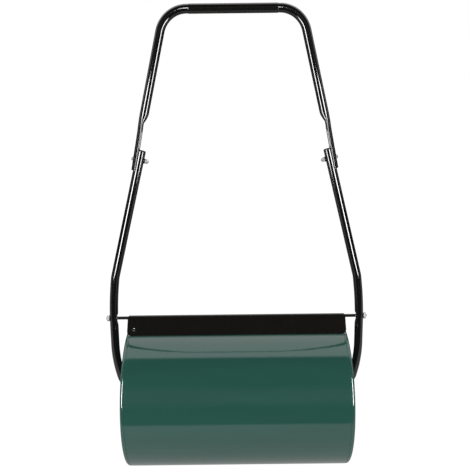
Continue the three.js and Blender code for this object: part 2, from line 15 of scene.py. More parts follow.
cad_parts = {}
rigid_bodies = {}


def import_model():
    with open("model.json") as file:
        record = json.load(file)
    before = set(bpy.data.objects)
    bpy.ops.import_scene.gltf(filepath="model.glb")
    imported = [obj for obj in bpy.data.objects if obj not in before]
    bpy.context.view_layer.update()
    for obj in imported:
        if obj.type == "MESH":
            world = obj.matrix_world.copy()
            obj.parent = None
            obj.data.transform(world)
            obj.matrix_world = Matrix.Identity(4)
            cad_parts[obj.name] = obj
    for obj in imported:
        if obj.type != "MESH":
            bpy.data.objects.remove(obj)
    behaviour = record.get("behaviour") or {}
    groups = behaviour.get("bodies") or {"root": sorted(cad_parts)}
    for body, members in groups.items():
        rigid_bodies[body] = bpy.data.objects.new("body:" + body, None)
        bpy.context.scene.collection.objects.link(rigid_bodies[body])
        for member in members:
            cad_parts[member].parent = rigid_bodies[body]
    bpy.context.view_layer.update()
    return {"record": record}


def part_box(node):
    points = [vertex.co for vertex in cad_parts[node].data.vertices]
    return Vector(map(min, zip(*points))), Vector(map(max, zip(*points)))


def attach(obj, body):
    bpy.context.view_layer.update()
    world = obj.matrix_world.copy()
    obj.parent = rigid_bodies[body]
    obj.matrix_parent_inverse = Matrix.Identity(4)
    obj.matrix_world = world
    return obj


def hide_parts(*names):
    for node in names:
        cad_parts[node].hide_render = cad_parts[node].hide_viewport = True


for leftover in list(bpy.data.objects):
    bpy.data.objects.remove(leftover)
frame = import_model()

MM = 0.001
GAP = 0.3  # clearance between pieces in the frame
M6 = (3, 1)  # radius and pitch of the threads
M8 = (4, 1.25)
M12 = (6, 1.75)
M6_ACROSS = 10  # the nuts' width across the flats
M8_ACROSS = 13
M12_ACROSS = 19

# ---- sizes in millimetres, from the frame where it has them ----


def box_mm(node):
    low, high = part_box(node)
    return np.array(low) / MM, np.array(high) / MM


SHELL_LOW, SHELL_HIGH = box_mm("drum_shell")
DRUM_RADIUS = (SHELL_HIGH[2] - SHELL_LOW[2]) / 2
AXLE_Z = SHELL_LOW[2] + DRUM_RADIUS
DRUM_HALF = box_mm("right_drum_end")[1][0]
RIM_WIDTH = 8.7  # from the drum's end to the seam with the rolled sheet
SEAM_X = DRUM_HALF - RIM_WIDTH
SHEET = 1.5
RIM_RADIUS = 6
RIM_INNER = 128
PANEL_RADIUS = 118
PANEL_DEPTH = 13
PANEL_X = DRUM_HALF - PANEL_DEPTH
HUB_X = box_mm("drum_core_tube")[1][0]
HUB_RADIUS = 36
CORE_RADIUS = 21
BOSS_RADIUS = 20
BOSS_BORE = 14.3
FLANGE_RADIUS = 20
FLANGE = 3
SPACER_RADIUS = 12.5
AXLE_WASHER_RADIUS = 12
AXLE_WASHER = 2.5
SEAL_RADIUS = 18.5
PLUG_HEAD = 7
PLUG_RADIUS = 13.8
PLUG_PITCH = 3
SCALLOPS = 24
AXLE_RADIUS = 8
AXLE_THREAD = 15

TUBE = 9.5
WALL = 1.5
EYE_X = 262
EYE_HALF = (2.5, 13.6)
EYE_LENGTH = 30
EYE_BLEND = 28
ARM_CORNERS = [
    (EYE_X, AXLE_Z - EYE_HALF[1]),
    (EYE_X, 176, 40),
    (280.6, 246, 300),
    (279.6, 383, 860),
    (271.9, 446, 60),
    (199.6, 731),
]
ROD_Z = (box_mm("scraper_rod")[0][2] + box_mm("scraper_rod")[1][2]) / 2
ROD_HALF = box_mm("scraper_rod")[1][0]
ROD_RADIUS = 3.55
ROD_THREAD = 22
DIMPLE_DEPTH = 3.4
DIMPLE_HALF = 15

HANDLE_Z = (box_mm("handle_grip")[0][2] + box_mm("handle_grip")[1][2]) / 2
HANDLE_CORNER_X = 140.5
HANDLE_BEND = 57
LEG_LEAN = math.radians(13.3)
SADDLE_LEAN = math.radians(11.5)
SADDLE_LENGTH = 79
SADDLE_OVERLAP = 44
SADDLE_BLEND = 46
SADDLE_INNER = TUBE + GAP
SADDLE_THICKNESS = 3.4
SADDLE_HALF_ANGLE = math.radians(75)
BOLT_DOWN = 20.5  # from the arm's top end to the handle bolt
BOLT_HEAD = 4.8  # radius
BOLT_IN_NUT = 4.8
WASHER_STACK = 2.2  # from the arm to the dome nut
DOME_HEX = 4
DOME_LENGTH = 8
AXLE_HALF = box_mm("axle_shaft")[1][0]
GRIP_HALF = box_mm("handle_grip")[1][0]
GRIP_RADIUS = 10.15

# ---- mesh tools ----


def full_turn(count):
    """Angles spread evenly over a full turn."""
    return 2 * np.pi * np.arange(count) / count


def circle(radius, count):
    angles = full_turn(count)
    return radius * np.column_stack([np.cos(angles), np.sin(angles)])


def spun(vector, angle):
    """A flat vector turned by an angle."""
    return np.array([[math.cos(angle), -math.sin(angle)], [math.sin(angle), math.cos(angle)]]) @ vector


def rounded(corners, steps=4):
    """A closed outline from (x, y) or (x, y, radius) corners, with each radius drawn as an arc."""
    result = []
    count = len(corners)
    for k, corner in enumerate(corners):
        point = np.array(corner[:2], float)
        radius = corner[2] if len(corner) > 2 else 0
        to_last = np.array(corners[k - 1][:2], float) - point
        to_next = np.array(corners[(k + 1) % count][:2], float) - point
        if radius == 0:
            result.append(point)
            continue
        to_last /= np.linalg.norm(to_last)
        to_next /= np.linalg.norm(to_next)
        half = math.acos(np.clip(to_last @ to_next, -1, 1)) / 2
        middle = (to_last + to_next) / np.linalg.norm(to_last + to_next)
        centre = point + middle * radius / math.sin(half)
        start = point + to_last * radius / math.tan(half) - centre
        end = point + to_next * radius / math.tan(half) - centre
        turn = math.atan2(start[0] * end[1] - start[1] * end[0], start @ end)
        for step in range(steps + 1):
            result.append(centre + spun(start, turn * step / steps))
    return np.array(result)


SHARP = 38  # degrees between two faces above which their edge is drawn sharp


def tidy_mesh(name, vertices, faces, sharp=SHARP):
    """A mesh in metres with doubled points merged, its faces pointing out and its sharp edges marked."""
    mesh = bpy.data.meshes.new(name)
    mesh.from_pydata((np.asarray(vertices, float) * MM).tolist(), [], [list(map(int, f)) for f in faces])
    work = bmesh.new()
    work.from_mesh(mesh)
    bmesh.ops.remove_doubles(work, verts=work.verts, dist=1e-6)
    bmesh.ops.dissolve_degenerate(work, edges=work.edges, dist=1e-7)
    bmesh.ops.recalc_face_normals(work, faces=work.faces)
    if work.calc_volume(signed=True) < 0:
        bmesh.ops.reverse_faces(work, faces=work.faces)
    work.to_mesh(mesh)
    work.free()
    mesh.shade_smooth()
    mesh.set_sharp_from_angle(angle=math.radians(sharp))
    return mesh


def skin(rings, joined=False):
    """Points and faces of a row of equal rings. Joined, the last meets the first, else both are capped."""
    rings = np.asarray(rings, float)
    rows, count = rings.shape[:2]
    faces = []
    for row in range(rows if joined else rows - 1):
        first = row * count
        second = (row + 1) % rows * count
        for k in range(count):
            after = (k + 1) % count
            faces.append((first + k, first + after, second + after, second + k))
    if not joined:
        faces.append(range(count)[::-1])
        faces.append(range((rows - 1) * count, rows * count))
    return rings.reshape(-1, 3), faces


def revolve(profile, steps):
    """Rings of (x, radius) points turned round the X axis."""
    along, radii = np.asarray(profile, float).T
    angles = full_turn(steps)
    return np.array([np.column_stack([along, radii * math.cos(a), radii * math.sin(a)]) for a in angles])


def turned(name, profile, steps=96, sharp=SHARP):
    """A turned solid. A profile that starts on the axis is closed along it."""
    return tidy_mesh(name, *skin(revolve(profile, steps), joined=True), sharp)


def in_scene(name, data):
    """A new object in the scene for a mesh, a light or a camera."""
    shown = bpy.data.objects.new(name, data)
    bpy.context.scene.collection.objects.link(shown)
    return shown


def extra(name, mesh, node, material, place=Matrix.Identity(4)):
    """A detail on a CAD node's body and in its material slot, which stands for no node of its own."""
    shown = in_scene(name, mesh)
    mesh.transform(place)
    mesh.materials.append(material)
    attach(shown, BODY_OF[node])
    return shown


def piece(name, mesh, node, material, place=Matrix.Identity(4)):
    """Show a mesh in place of a CAD node, on that node's body and in its material slot."""
    shown = extra(name, mesh, node, material, place)
    weighted(shown)
    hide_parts(node)


def weighted(shown):
    """Let the large faces lead the shading, so that rounded edges read as edges."""
    modifier = shown.modifiers.new("weighted", "WEIGHTED_NORMAL")
    modifier.keep_sharp = True


def drill(mesh, *tools):
    return combine(mesh, tools, "DIFFERENCE")


def combine(mesh, tools, operation):
    """Cut tool meshes out of a mesh, or join them to it, and return the result."""
    body = in_scene("combined", mesh)
    bits = []
    for tool in tools:
        bit = in_scene("bit", tool)
        change = body.modifiers.new("change", "BOOLEAN")
        change.object = bit
        change.operation = operation
        change.solver = "EXACT"
        bits.append(bit)
    bpy.context.view_layer.update()
    graph = bpy.context.evaluated_depsgraph_get()
    result = bpy.data.meshes.new_from_object(body.evaluated_get(graph))
    for used in [body, *bits]:
        bpy.data.objects.remove(used)
    result.shade_smooth()
    result.set_sharp_from_angle(angle=math.radians(SHARP))
    return result


def drill_bit(radius, place, length=60, steps=48):
    half = length / 2
    bit = turned("bit", [(-half, 0), (-half, radius), (half, radius), (half, 0)], steps)
    bit.transform(place)
    return bit


def at_mm(x, y, z):
    return Matrix.Translation((x * MM, y * MM, z * MM))


def smoothstep(x, low, high):
    t = np.clip((x - low) / (high - low), 0, 1)
    return t * t * (3 - 2 * t)


BODY_OF = {node: body for body, nodes in frame["record"]["behaviour"]["bodies"].items() for node in nodes}
HALF_TURN = Matrix.Rotation(math.pi, 4, "Z")
AXLE_LINE = at_mm(0, 0, AXLE_Z)


# ---- bent tube ----


class BentPath:
    """A centre line in the XZ plane: straight runs joined by arcs, from (x, z, bend radius) corners."""

    def __init__(self, corners):
        self.runs = []
        self.length = 0
        last = np.array(corners[0][:2], float)
        for k in range(1, len(corners) - 1):
            corner = np.array(corners[k][:2], float)
            before = unit(corner - np.array(corners[k - 1][:2], float))
            after = unit(np.array(corners[k + 1][:2], float) - corner)
            turn = math.asin(before[0] * after[1] - before[1] * after[0])
            radius = corners[k][2]
            start = corner - before * radius * math.tan(abs(turn) / 2)
            self.add_line(last, start)
            self.add_arc(start, before, radius, turn)
            last = self.point(self.length)
        self.add_line(last, np.array(corners[-1][:2], float))

    def add_line(self, start, end):
        along = unit(end - start)
        self.add(np.linalg.norm(end - start), lambda s: (start + along * s, along))

    def add_arc(self, start, heading, radius, turn):
        side = np.array([-heading[1], heading[0]]) * math.copysign(1, turn)
        centre = start + side * radius

        def place(s):
            angle = math.copysign(s / radius, turn)
            return centre + spun(start - centre, angle), spun(heading, angle)

        self.add(radius * abs(turn), place)

    def add(self, length, place):
        self.runs.append((self.length, length, place))
        self.length += length

    def place(self, distance):
        for start, length, place in self.runs:
            if distance <= start + length:
                return place(max(distance - start, 0))
        return place(length + distance - self.length)

    def point(self, distance):
        return self.place(distance)[0]

    def distance_at(self, z):
        """Distance along the path at which it reaches a height, for a path that climbs."""
        low, high = 0, self.length
        for _ in range(40):
            middle = (low + high) / 2
            low, high = (middle, high) if self.point(middle)[1] < z else (low, middle)
        return low


def unit(vector):
    return vector / np.linalg.norm(vector)


def placed(outline, centre, along):
    """An outline at a centre: its x points out of the bend, its y runs along the world's Y."""
    out = np.array([along[1], -along[0]])
    return np.column_stack([
        centre[0] + out[0] * outline[:, 0], outline[:, 1], centre[1] + out[1] * outline[:, 0]
    ])


def flattened(half_thickness, half_width, count):
    """A flattened tube's outline, with points spread evenly round it from the middle of its outer side."""
    straight = max(half_width - half_thickness, 0)
    arc = math.pi * half_thickness
    total = 4 * straight + 2 * arc
    points = []
    for k in range(count):
        s = total * k / count
        if s < straight:
            points.append((half_thickness, s))
        elif s < straight + arc:
            a = (s - straight) / half_thickness
            points.append((half_thickness * math.cos(a), straight + half_thickness * math.sin(a)))
        elif s < 3 * straight + arc:
            points.append((-half_thickness, straight - (s - straight - arc)))
        elif s < 3 * straight + 2 * arc:
            a = math.pi + (s - 3 * straight - arc) / half_thickness
            points.append((half_thickness * math.cos(a), -straight + half_thickness * math.sin(a)))
        else:
            points.append((half_thickness, s - total))
    return np.array(points)


# ---- arms ----

ARM = BentPath(ARM_CORNERS)
ARM_SIDES = 48
ROD_DISTANCE = ARM.distance_at(ROD_Z)
ARM_TOP, ARM_UP = ARM.place(ARM.length)
ARM_OUT = np.array([ARM_UP[1], -ARM_UP[0]])
ARM_TILT = math.atan2(ARM_OUT[1], ARM_OUT[0])
BOLT_POINT = ARM_TOP - ARM_UP * BOLT_DOWN
STAND_OFF = (SADDLE_OVERLAP - BOLT_DOWN + BOLT_HEAD) * math.sin(ARM_TILT - SADDLE_LEAN)
HEAD_SEAT = SADDLE_INNER + SADDLE_THICKNESS + STAND_OFF
NUT_SEAT = TUBE + WASHER_STACK
ARM_STEP = 3.5  # between rings along the arm
ARM_BORE_DEPTH = 150  # of the open top end


def arm_outline(distance, inset):
    """The arm's outline at a distance from its lower tip, drawn in by inset for the inner skin."""
    round_tube = circle(TUBE - inset, ARM_SIDES)
    tip = EYE_HALF[1] - min(distance, EYE_HALF[1])
    half_width = max(math.sqrt(EYE_HALF[1] ** 2 - tip ** 2), EYE_HALF[0])
    flat = flattened(EYE_HALF[0] - 0.9 * inset, half_width - inset, ARM_SIDES)
    opened = smoothstep(distance, EYE_LENGTH, EYE_LENGTH + EYE_BLEND)
    outline = flat + (round_tube - flat) * opened
    return dimpled(outline, distance)


def dimpled(outline, distance):
    """Squeeze the inner side where the rod enters: steep above the rod, drawn out below it."""
    away = distance - ROD_DISTANCE
    reach = DIMPLE_HALF * (0.85 if away > 0 else 1.25)
    depth = DIMPLE_DEPTH * (1 - smoothstep(abs(away) / reach, 0, 1))
    facing = np.clip(-outline[:, 0] / TUBE, 0, 1)
    moved = outline.copy()
    moved[:, 0] += depth * facing ** 1.5
    moved[:, 1] *= 1 + 0.05 * depth / DIMPLE_DEPTH
    return moved


def arm_mesh():
    """The right arm: inner skin up to the open top, rounded rim, outer skin down to the rounded eye."""
    rings = []
    for s in np.linspace(ARM.length - ARM_BORE_DEPTH, ARM.length - 1, 30):
        rings.append(placed(arm_outline(s, WALL), *ARM.place(s)))
    for angle in np.linspace(0, math.pi, 5):
        s = ARM.length - WALL / 2 + WALL / 2 * math.sin(angle)
        rings.append(placed(arm_outline(s, WALL / 2 * (1 + math.cos(angle))), *ARM.place(s)))
    spaced = np.arange(ARM.length - 3, EYE_HALF[1], -ARM_STEP)
    tip = EYE_HALF[1] * (1 - np.cos(np.linspace(math.pi / 2, 0.06, 12)))
    for s in [*spaced, *tip]:
        rings.append(placed(arm_outline(s, 0), *ARM.place(s)))
    mesh = tidy_mesh("arm", *skin(rings))
    rod_hole = drill_bit(M8[0] + GAP, at_mm(EYE_X + 18, 0, ROD_Z))
    axle_hole = drill_bit(M12[0] + GAP, at_mm(EYE_X, 0, AXLE_Z))
    return drill(mesh, rod_hole, axle_hole, drill_bit(M6[0] + GAP, joint_place(1)))


def joint_place(side):
    """The frame of a handle joint: X points outwards along the bolt, from the arm's centre."""
    tilt = Matrix.Rotation(-ARM_TILT, 4, "Y")
    right = at_mm(BOLT_POINT[0], 0, BOLT_POINT[1]) @ tilt
    return right if side > 0 else HALF_TURN @ right


def mirrored(mesh):
    copy = mesh.copy()
    copy.transform(Matrix.Scale(-1, 4, (1, 0, 0)))
    copy.flip_normals()
    return copy


# ---- upper handle ----

SADDLE_ARC = 12  # points along each arc and round each folded edge
SADDLE_TIP = 4
SADDLE_UP = np.array([-math.sin(SADDLE_LEAN), math.cos(SADDLE_LEAN)])
LEG_UP = np.array([-math.sin(LEG_LEAN), math.cos(LEG_LEAN)])


def saddle_outline(inset):
    """A pressed half-round section round the arm, with folded edges, from the middle of its outer side."""
    half_thickness = SADDLE_THICKNESS / 2 - inset
    middle = SADDLE_INNER + SADDLE_THICKNESS / 2
    reach = SADDLE_HALF_ANGLE - SADDLE_THICKNESS / 2 / middle
    angles = np.linspace(0, reach, SADDLE_ARC)
    outer = (middle + half_thickness) * np.column_stack([np.cos(angles), np.sin(angles)])
    inner = (middle - half_thickness) * np.column_stack([np.cos(angles[::-1]), np.sin(angles[::-1])])
    centre = middle * np.array([math.cos(reach), math.sin(reach)])
    turns = np.linspace(0, math.pi, SADDLE_TIP + 2)[1:-1] + reach
    tip = centre + half_thickness * np.column_stack([np.cos(turns), np.sin(turns)])
    half = np.vstack([outer, tip, inner])
    back = half[1:-1][::-1] * np.array([1, -1])
    return np.vstack([half, back])


HANDLE_SIDES = len(saddle_outline(0))


def saddle_point(distance):
    """The middle of the pressed end's arc at a distance from its tip."""
    return ARM_TOP - ARM_UP * SADDLE_OVERLAP + SADDLE_UP * distance


def leg_point(z):
    return np.array([HANDLE_CORNER_X + (HANDLE_Z - z) * math.tan(LEG_LEAN), z])


def saddle_rings():
    """Rings of the right leg's pressed end, from inside its slit over the tip and up to the round leg."""
    slit = SADDLE_THICKNESS / 2 - 0.2
    edge = [(8, slit), (0.6, slit), (0, slit - 0.5), (0, 0.5), (0.15, 0.15), (0.6, 0)]
    body = [(s, 0) for s in np.arange(4, SADDLE_LENGTH, 4)]
    rings = [placed(saddle_outline(inset), saddle_point(s), SADDLE_UP) for s, inset in edge + body]
    for t in np.linspace(0, 1, 17):
        centre = saddle_point(SADDLE_LENGTH + t * SADDLE_BLEND)
        pressed = placed(saddle_outline(0), centre, SADDLE_UP)
        tube = placed(circle(TUBE, HANDLE_SIDES), leg_point(centre[1]), LEG_UP)
        rings.append(pressed + (tube - pressed) * smoothstep(t, 0, 1))
    return rings


def handle_mesh():
    ends = saddle_rings()
    low = saddle_point(SADDLE_LENGTH + SADDLE_BLEND)[1]
    x = leg_point(low)[0]
    right = (HANDLE_CORNER_X, HANDLE_Z, HANDLE_BEND)
    left = (-HANDLE_CORNER_X, HANDLE_Z, HANDLE_BEND)
    bar = BentPath([(x, low), right, left, (-x, low)])
    outline = circle(TUBE, HANDLE_SIDES)
    middle = [placed(outline, *bar.place(s)) for s in np.linspace(0, bar.length, 220)[1:-1]]
    other = [ring * np.array([-1, 1, 1]) for ring in ends[::-1]]
    mesh = tidy_mesh("handle", *skin([*ends, *middle, *other]))
    return drill(mesh, *[drill_bit(M6[0] + GAP, joint_place(side)) for side in (1, -1)])


def grip_mesh():
    """A shrunk-on sleeve with rolled ends and faint rings left by the shrinking."""
    xs = np.linspace(-GRIP_HALF + 1.2, GRIP_HALF - 1.2, 120)
    swell = 0.05 * np.sin(xs * 0.9) * np.sin(xs * 0.13 + 1)
    outer = [(x, GRIP_RADIUS - 0.08 + s) for x, s in zip(xs, swell)]
    roll = [(GRIP_HALF - 0.4, GRIP_RADIUS - 0.15), (GRIP_HALF, 10.2), (GRIP_HALF, TUBE + GAP)]
    return turned("grip", [*[(-x, r) for x, r in roll[::-1]], *outer, *roll], 64, 60)


# ---- drum ----


def shell_mesh():
    """The rolled sheet, drawn in a little where it meets the rim welds."""
    edge = SEAM_X - GAP / 2
    right = [(edge - x, DRUM_RADIUS - depth) for x, depth in ((0, 0.9), (0.1, 0.25), (0.4, 0.04))]
    flat = [(x, DRUM_RADIUS) for x in np.linspace(-edge + 3, edge - 3, 40)]
    inner = DRUM_RADIUS - SHEET
    profile = [*[(-x, r) for x, r in right], *flat, *right[::-1]]
    profile += [(edge, inner - 0.6), (edge - 3, inner), (-edge + 3, inner), (-edge, inner - 0.6)]
    return turned("shell", profile, 256, 60)


def end_profile(inset):
    """Corners of one skin of the pressed right end, from the seam over the rim and panel to the hub."""
    radius = DRUM_RADIUS - inset
    return [
        (SEAM_X + 0.45, radius - 1.2),
        (SEAM_X + 0.5, radius - 0.2),
        (DRUM_HALF - inset, radius, RIM_RADIUS - inset),
        (DRUM_HALF - inset, RIM_INNER + 1, 4),
        (PANEL_X - inset, PANEL_RADIUS, 5),
        (PANEL_X - inset, HUB_RADIUS + 9, 5),
        (HUB_X - inset, HUB_RADIUS, 3),
        (HUB_X - inset, CORE_RADIUS + 0.3),
    ]


def end_mesh():
    profile = rounded([*end_profile(0), *end_profile(SHEET)[::-1]], 8)
    return turned("drum_end", profile, 256, 60)


def weld_bead(radius, x, width, height, steps=360):
    """A ring of overlapping weld ripples at a radius round the X axis."""
    rings = []
    for k in range(steps):
        angle = 2 * math.pi * k / steps
        ripple = 1 + 0.04 * math.sin(k * 2 * math.pi / 6)
        outline = circle(1, 12) * np.array([width / 2, height / 2 * ripple])
        r = radius + outline[:, 1]
        rings.append(np.column_stack([x + outline[:, 0], r * math.cos(angle), r * math.sin(angle)]))
    return tidy_mesh("weld", *skin(rings, joined=True), 70)


# ---- fasteners and small turned pieces, along +X ----


def ring_outline(x0, x1, inner, outer, corner=0.4):
    """The (x, radius) outline of a plain ring with rounded corners."""
    return rounded([(x0, inner, corner), (x0, outer, corner), (x1, outer, corner), (x1, inner, corner)])


def thread(radius, pitch, x0, x1, sides=40, per_turn=8):
    """Rings of a thread between two places on the X axis, with run-outs at both ends."""
    depth = 0.6 * pitch
    count = int((x1 - x0) / pitch * per_turn)
    rings = []
    for x in np.linspace(x0, x1, count):
        fade = min(1, (x - x0) / pitch, (x1 - x) / pitch)
        ring = []
        for k in range(sides):
            angle = 2 * math.pi * k / sides
            phase = (x / pitch - k / sides) % 1
            ridge = np.clip(1.35 - 4 * abs(phase - 0.5) * 0.85, 0, 1)
            r = radius - depth * (1 - ridge * max(fade, 0))
            ring.append((x, r * math.cos(angle), r * math.sin(angle)))
        rings.append(ring)
    return rings


def ring_of(x, angles, radii):
    """A ring round the X axis with its own radius at each angle."""
    return np.column_stack([np.full(len(angles), x), radii * np.cos(angles), radii * np.sin(angles)])


def ring_at(x, radius, sides=40):
    return ring_of(x, full_turn(sides), radius)


def hexagon(across, steps):
    """Angles round a hexagon that measures so much across its flats, and its radius at each of them."""
    angles = full_turn(steps)
    return angles, across / 2 / np.cos((angles % (np.pi / 3)) - np.pi / 6)


def hex_nut(x0, x1, across, bore):
    """A nut with corners chamfered at 30 degrees on both faces and a countersunk bore."""
    steps = 120
    angles, flat = hexagon(across, steps)
    slope = math.tan(math.radians(30))
    face = across / 2 * 0.94

    def chamfered(x, depth):
        return ring_of(x, angles, np.minimum(flat, face + depth / slope))

    depths = np.linspace(0, (across / math.sqrt(3) - face) * slope, 7)
    rings = [ring_at(x0 + 0.5, bore, steps), ring_at(x0, bore + 0.5, steps)]
    rings += [chamfered(x0 + depth, depth) for depth in depths]
    rings += [chamfered(x1 - depth, depth) for depth in depths[::-1]]
    rings += [ring_at(x1, bore + 0.5, steps), ring_at(x1 - 0.5, bore, steps)]
    return tidy_mesh("nut", *skin(rings, joined=True), 28)


def joined_rings(name, rings, sharp=SHARP):
    """A solid from rings along X. A ring of no radius closes its end."""
    return tidy_mesh(name, *skin(rings), sharp)


def both_ends(rings):
    """Rings of a bar's right half, with their mirror images before them."""
    right = [np.array(ring) for ring in rings]
    return [ring * np.array([-1, 1, 1]) for ring in right[::-1]] + right


def rod_mesh():
    """The scraper's rod, with a thread and a chamfer at each end."""
    radius, pitch = M8
    start = ROD_HALF - ROD_THREAD
    right = [ring_at(start - x, ROD_RADIUS) for x in (40, 6, 1.5)]
    right += thread(radius, pitch, start, ROD_HALF - 0.9)
    right += [ring_at(ROD_HALF - 0.2, radius - 0.8), ring_at(ROD_HALF, radius - 1.1)]
    return joined_rings("rod", both_ends(right), 60)


def axle_mesh():
    """The axle: a plain bar with rounded shoulders, stepped down to threaded ends."""
    sides = 48
    thin, pitch = M12
    shoulder = EYE_X - EYE_HALF[0] - GAP
    start = AXLE_HALF - AXLE_THREAD
    corners = [(shoulder, AXLE_RADIUS, 0.5), (shoulder, thin, 0.3), (start - 0.5, thin)]
    step = rounded([(0, 0), (0, AXLE_RADIUS), *corners], 3)[2:]
    right = [ring_at(shoulder - 12, AXLE_RADIUS, sides), *[ring_at(x, r, sides) for x, r in step]]
    right += thread(thin, pitch, start, AXLE_HALF - 1, sides)
    right += [ring_at(AXLE_HALF - 0.2, thin - 1, sides), ring_at(AXLE_HALF, thin - 1.4, sides)]
    return joined_rings("axle", both_ends(right))


def bush_mesh():
    """A flanged plain bush with moulded radii, its flange outwards."""
    low, high = box_mm("right_axle_bush")
    bore = AXLE_RADIUS + GAP
    body = CORE_RADIUS - 2.3
    flange = high[0] - FLANGE
    inner_end = [(low[0], bore, 0.6), (low[0], body, 1), (flange, body)]
    outer_end = [(flange, FLANGE_RADIUS, 0.5), (high[0], FLANGE_RADIUS, 0.9), (high[0], bore, 0.9)]
    return turned("bush", rounded([*inner_end, *outer_end]), 72)


def bolt_mesh():
    """A mushroom-headed bolt, its thread ending inside the dome nut."""
    seat = HEAD_SEAT + GAP
    end = -NUT_SEAT - BOLT_IN_NUT
    neck = [(-0.8, M6[0]), (0, 3.2), (0, BOLT_HEAD - 0.25), (0.25, BOLT_HEAD)]
    crown = [(0.8, 4.75), (1.5, 4.4), (2.1, 3.7), (2.6, 2.7), (3, 1.4), (3.18, 0.5), (3.2, 0)]
    rings = [ring_at(end, 0), ring_at(end, 2.2)]
    rings += thread(*M6, end + 0.3, 2 - TUBE)
    rings += [ring_at(seat + x, r) for x, r in neck + crown]
    return joined_rings("bolt", rings)


def washer_mesh():
    """A black spring-steel washer between the tube and the dome nut."""
    return turned("washer", ring_outline(GAP - NUT_SEAT, -TUBE - GAP, M6[0] + GAP, 5.6), 48)


def dome_nut_mesh():
    """A hexagon with chamfered corners, a fillet and a dome over a blind hole."""
    steps = 60
    angles, flat = hexagon(M6_ACROSS, steps)
    bore = M6[0] + GAP
    dome = 4.5

    def chamfered(x, depth):
        return ring_of(x, angles, np.minimum(flat, 4.75 + depth / 0.6))

    depths = np.linspace(0, 0.62, 4)
    hole = [(BOLT_IN_NUT + 0.4, 0), (BOLT_IN_NUT + 0.3, bore), (0.4, bore), (0, bore + 0.4)]
    rings = [ring_at(-NUT_SEAT - x, r, steps) for x, r in hole]
    rings += [chamfered(-NUT_SEAT - d, d) for d in depths]
    rings += [chamfered(-NUT_SEAT - DOME_HEX + d, d) for d in depths[::-1]]
    collar = -NUT_SEAT - DOME_HEX - 0.1
    rings += [ring_at(collar, dome + 0.1, steps), ring_at(collar - 0.4, dome, steps)]
    rise = DOME_LENGTH - DOME_HEX - 0.6
    for angle in np.linspace(0, math.pi / 2, 10):
        rings.append(ring_at(collar - 0.5 - rise * math.sin(angle), dome * math.cos(angle), steps))
    return joined_rings("dome_nut", rings, 30)


def plug_mesh():
    """The filler plug, about its own axis: coarse thread, scalloped head and a finger bar."""
    low, high = box_mm("filler_plug")
    head = high[0] - PLUG_HEAD
    steps = 144
    shank = [ring_at(low[0], 0, steps), ring_at(low[0], PLUG_RADIUS - 2, steps)]
    shank += thread(PLUG_RADIUS, PLUG_PITCH, low[0] + 0.6, head - 0.8, steps, 10)
    angles = full_turn(steps)
    scallop = 0.45 * np.clip(np.cos(SCALLOPS * angles) - 0.2, 0, 1)
    rim = [(0, 18.2, 0), (0.15, 18.8, 0.5), (0.5, 19, 1), (2.2, 19, 1), (2.75, 18.7, 0.6), (3, 18, 0.1)]
    rings = [*shank, ring_at(head, PLUG_RADIUS - 1, steps)]
    rings += [ring_of(head + x, angles, r - depth * scallop) for x, r, depth in rim]
    rings += [ring_at(head + x, r, steps) for x, r in ((3, 16.6), (2.6, 16.2), (2.6, 0))]
    body = joined_rings("plug", rings, 45)
    bar = rounded_box((head + 4.5, 0, 0), (5, 32, 7), 1.2)
    return combine(body, [bar], "UNION")


def rounded_box(centre, size, radius):
    mesh = bpy.data.meshes.new("box")
    work = bmesh.new()
    bmesh.ops.create_cube(work, size=1)
    bmesh.ops.scale(work, vec=[MM * v for v in size], verts=work.verts)
    bmesh.ops.bevel(work, geom=work.edges, offset=radius * MM, segments=4, profile=0.5, affect="EDGES")
    bmesh.ops.translate(work, vec=[MM * v for v in centre], verts=work.verts)
    work.to_mesh(mesh)
    work.free()
    mesh.shade_smooth()
    return mesh


# ---- scraper ----

PLATE_HALF = box_mm("scraper_plate")[1][0]
PLATE_SHEET = 1.2
PLATE_DROP = 43.4
PLATE_CORNER = 10
HEM_INNER = 4.3
HEM_MIDDLE = HEM_INNER + PLATE_SHEET / 2
HEM_END = math.radians(-65)
EDGE_GAP = 0.65  # between the scraping edge and the drum
HOLE_IN = 15  # the hanging hole's place from the plate's left end and lower edge
HOLE_UP = 14
HOLE_RADIUS = 3.5
HOLE_PLACE = at_mm(HOLE_IN - PLATE_HALF, -5, HOLE_UP - PLATE_DROP) @ Matrix.Rotation(math.pi / 2, 4, "Z")


def plate_lean():
    """How far the plate leans when its edge stops just short of the drum, as in the frame."""
    reach = math.hypot(PLATE_DROP, HEM_INNER)
    height = ROD_Z - AXLE_Z
    rest = DRUM_RADIUS + EDGE_GAP
    corner = math.acos((height ** 2 + reach ** 2 - rest ** 2) / (2 * height * reach))
    return corner - math.atan2(HEM_INNER, PLATE_DROP)


def plate_section(drop):
    """The plate's closed outline in (y, z), hanging from the rod at the origin, with its hem behind."""
    outer = HEM_INNER + PLATE_SHEET
    turns = np.linspace(math.pi, HEM_END, 28)
    arc = np.column_stack([np.cos(turns), np.sin(turns)])
    end = HEM_MIDDLE * np.array([math.cos(HEM_END), math.sin(HEM_END)])
    tip_turns = np.linspace(HEM_END, HEM_END - math.pi, 7)[1:-1]
    tip = end + PLATE_SHEET / 2 * np.column_stack([np.cos(tip_turns), np.sin(tip_turns)])
    drops = np.linspace(0, 1, 12)[1:-1]
    front = [(-outer, -drop * t) for t in drops[::-1]]
    back = [(-HEM_INNER, -drop * t) for t in drops]
    corners = [(-HEM_INNER, -drop, 0.3), (-outer, -drop, 0.3), (-outer, 0), (-HEM_INNER, 0)]
    edge = rounded(corners, 3)[:8]
    return np.vstack([front, outer * arc, tip, HEM_INNER * arc[::-1], back, edge])


